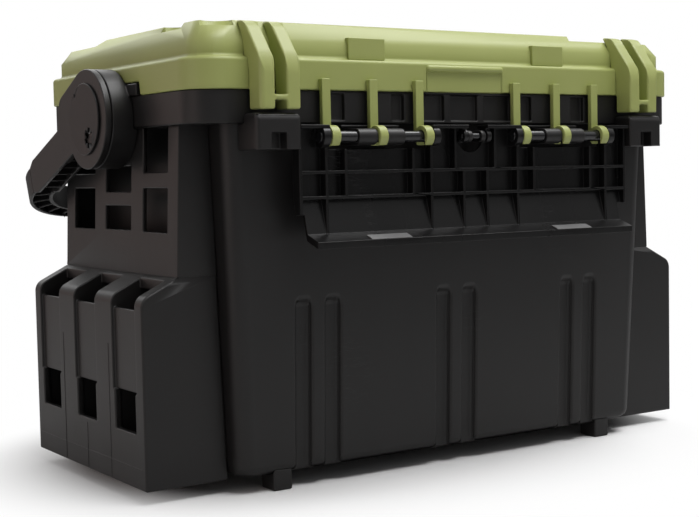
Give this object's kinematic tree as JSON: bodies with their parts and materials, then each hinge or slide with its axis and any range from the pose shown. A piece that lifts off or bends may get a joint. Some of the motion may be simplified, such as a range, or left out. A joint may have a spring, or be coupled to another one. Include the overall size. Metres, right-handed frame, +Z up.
{
  "type": "fishing tackle box",
  "caption": "Moulded tackle box with a lid that opens from either long side, fold-down latch flaps, end rod pods and a swing handle.",
  "frame": {"origin": "on the surface that the box stands on, under the middle of its overall size with one flap hanging and the handle stowed", "axes": "+X along the length, -Y the long side whose flap hangs open, +Z up"},
  "size_m": [0.434, 0.2866, 0.2824],
  "materials": {
    "black_plastic": "black polypropylene, fine satin grain",
    "rod_plastic": "smooth dark acetal rod, semi-gloss",
    "pin_steel": "plain turned steel",
    "strip_plastic": "dark grey polypropylene, polished by wear",
    "olive_plastic": "olive green polypropylene, satin",
    "cover_plastic": "black plastic, satin"
  },
  "bodies": {
    "body": {"tub": "black_plastic", "feet": "black_plastic", "rim_collar": "black_plastic", "side_frame_left": "black_plastic", "side_frame_right": "black_plastic", "rod_pod_left": "black_plastic", "rod_pod_right": "black_plastic", "front_strap_bosses": "black_plastic", "rear_strap_bosses": "black_plastic", "front_hinge_brackets": "black_plastic", "rear_hinge_brackets": "black_plastic", "front_rod_left": "rod_plastic", "front_rod_right": "rod_plastic", "rear_rod_left": "rod_plastic", "rear_rod_right": "rod_plastic", "front_clip_rod": "rod_plastic", "rear_clip_rod": "rod_plastic", "handle_drum_left": "black_plastic", "handle_drum_right": "black_plastic", "pivot_pin_left": "pin_steel", "pivot_pin_right": "pin_steel"},
    "front_flap": {"front_flap": "black_plastic", "front_catch_strips": "strip_plastic"},
    "rear_flap": {"rear_flap": "black_plastic", "rear_catch_strips": "strip_plastic"},
    "lid": {"lid_shell": "olive_plastic", "lid_catch_tabs": "olive_plastic", "front_lid_hooks": "olive_plastic", "rear_lid_hooks": "olive_plastic", "strap_loop_front_left": "olive_plastic", "strap_loop_front_right": "olive_plastic", "strap_loop_rear_left": "olive_plastic", "strap_loop_rear_right": "olive_plastic"},
    "handle": {"handle_grip": "black_plastic", "handle_corner_left": "black_plastic", "handle_corner_right": "black_plastic", "handle_arm_left": "black_plastic", "handle_arm_right": "black_plastic", "pivot_cover_left": "cover_plastic", "pivot_cover_right": "cover_plastic"}
  },
  "joints": [
    {"name": "front_flap_hinge", "type": "hinge", "parent": "body", "child": "front_flap", "pos_m": [0, -0.1306, 0.2137], "axis": [-1, 0, 0], "range_deg": [0, 180]},
    {"name": "lid_hinge", "type": "hinge", "parent": "body", "child": "lid", "pos_m": [0, 0.1164, 0.2137], "axis": [-1, 0, 0], "range_deg": [0, 95]},
    {"name": "rear_flap_hinge", "type": "hinge", "parent": "lid", "child": "rear_flap", "pos_m": [0, 0.1164, 0.2137], "axis": [-1, 0, 0], "range_deg": [0, 34]},
    {"name": "handle_swing", "type": "hinge", "parent": "body", "child": "handle", "pos_m": [0, -0.0071, 0.2287], "axis": [1, 0, 0], "range_deg": [0, 208]}
  ]
}
